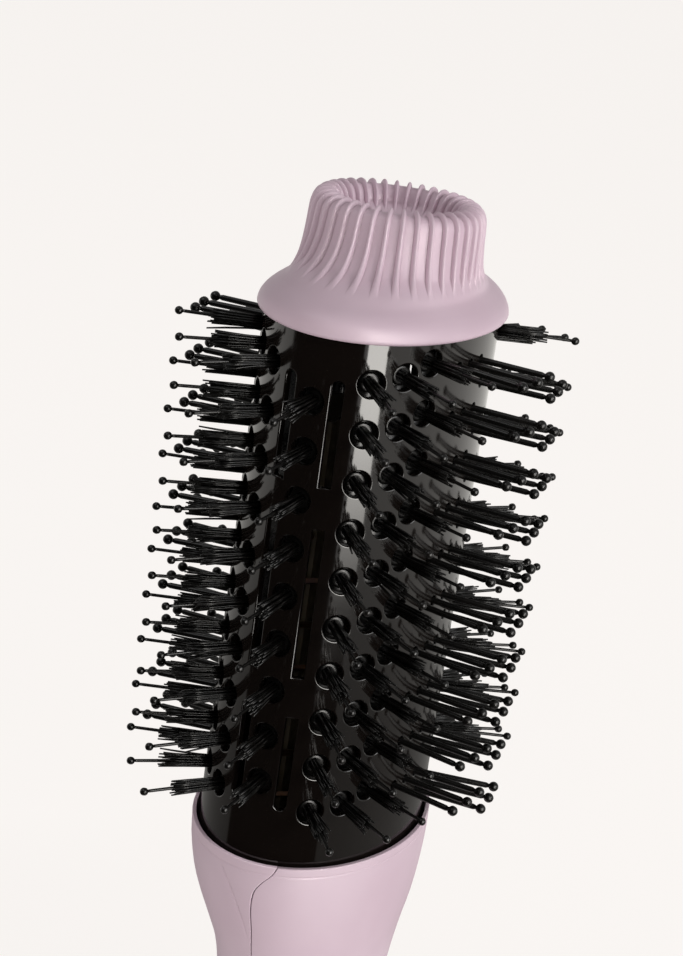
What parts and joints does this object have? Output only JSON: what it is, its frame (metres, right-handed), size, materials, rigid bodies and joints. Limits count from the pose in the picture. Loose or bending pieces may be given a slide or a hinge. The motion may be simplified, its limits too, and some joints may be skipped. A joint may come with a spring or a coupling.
{
  "type": "hot air brush",
  "caption": "Hot air styling brush: oval bristled barrel with air slots, ribbed dished cap, tapered handle with fan, heater, slider, button and swivelling cord gland.",
  "frame": {"origin": "centre of the cord gland's end face, under the middle of the handle", "axes": "+Z along the brush from the cord gland to the cap, +X out of a narrow end of the oval barrel, -Y the side with the controls"},
  "size_m": [0.092, 0.0702, 0.3457],
  "materials": {
    "lilac_shell": "soft-touch lilac moulding",
    "black_barrel": "high-gloss black ceramic coat on aluminium",
    "black_nylon": "glossy black nylon",
    "dark_moulding": "fine matt heat-proof moulding",
    "black_rubber": "matt",
    "mica": "flaky mica sheet",
    "heating_wire": "bright heating alloy",
    "steel": "plain bright steel",
    "circuit_board": "green solder resist",
    "ceramic": "white ceramic"
  },
  "bodies": {
    "handle": {"barrel": "black_barrel", "tuft_strip_end_east": "black_nylon", "tuft_strip_end_west": "black_nylon", "tuft_strip_corner_east_back": "black_nylon", "tuft_strip_corner_east_front": "black_nylon", "tuft_strip_corner_west_back": "black_nylon", "tuft_strip_corner_west_front": "black_nylon", "tuft_strip_shoulder_east_back": "black_nylon", "tuft_strip_shoulder_east_front": "black_nylon", "tuft_strip_shoulder_west_back": "black_nylon", "tuft_strip_shoulder_west_front": "black_nylon", "tuft_strip_flank_east_back": "black_nylon", "tuft_strip_flank_east_front": "black_nylon", "tuft_strip_flank_west_back": "black_nylon", "tuft_strip_flank_west_front": "black_nylon", "pin_comb_back": "black_nylon", "pin_comb_front": "black_nylon", "top_cap": "lilac_shell", "cap_plate": "dark_moulding", "cap_screw_east": "steel", "cap_screw_west": "steel", "barrel_base": "dark_moulding", "heater_holder": "dark_moulding", "mica_board_wide": "mica", "mica_board_narrow": "mica", "heater_coil": "heating_wire", "thermal_cut_out": "steel", "thermal_fuse": "ceramic", "handle_rear_shell": "lilac_shell", "handle_front_shell": "lilac_shell", "control_panel": "lilac_shell", "control_board": "circuit_board", "button_switch": "dark_moulding", "slider_switch": "dark_moulding", "power_board": "circuit_board", "ion_module": "ceramic", "shell_screw_upper": "steel", "shell_screw_lower": "steel", "fan_shroud": "dark_moulding", "motor_can": "steel", "motor_magnet": "dark_moulding", "shroud_mount": "black_rubber", "intake_grille": "dark_moulding", "dust_filter": "steel", "gland_retainer": "dark_moulding"},
    "button": {"cool_shot_button": "lilac_shell"},
    "slider": {"mode_slider": "dark_moulding"},
    "rotor": {"fan_impeller": "dark_moulding", "rotor_shaft": "steel"},
    "swivel": {"cord_swivel": "black_rubber"}
  },
  "joints": [
    {"name": "cool_shot_press", "type": "slide", "parent": "handle", "child": "button", "axis": [0, 1, 0], "range_m": [0, 0.0012], "stiffness_N_per_m": 800},
    {"name": "mode_slide", "type": "slide", "parent": "handle", "child": "slider", "axis": [0, 0, 1], "range_m": [0, 0.012]},
    {"name": "fan_spin", "type": "hinge", "parent": "handle", "child": "rotor", "pos_m": [0, 0, 0.033], "axis": [0, 0, 1], "continuous": true},
    {"name": "cord_swivel_turn", "type": "hinge", "parent": "handle", "child": "swivel", "pos_m": [0, 0, 0], "axis": [0, 0, 1], "continuous": true}
  ]
}
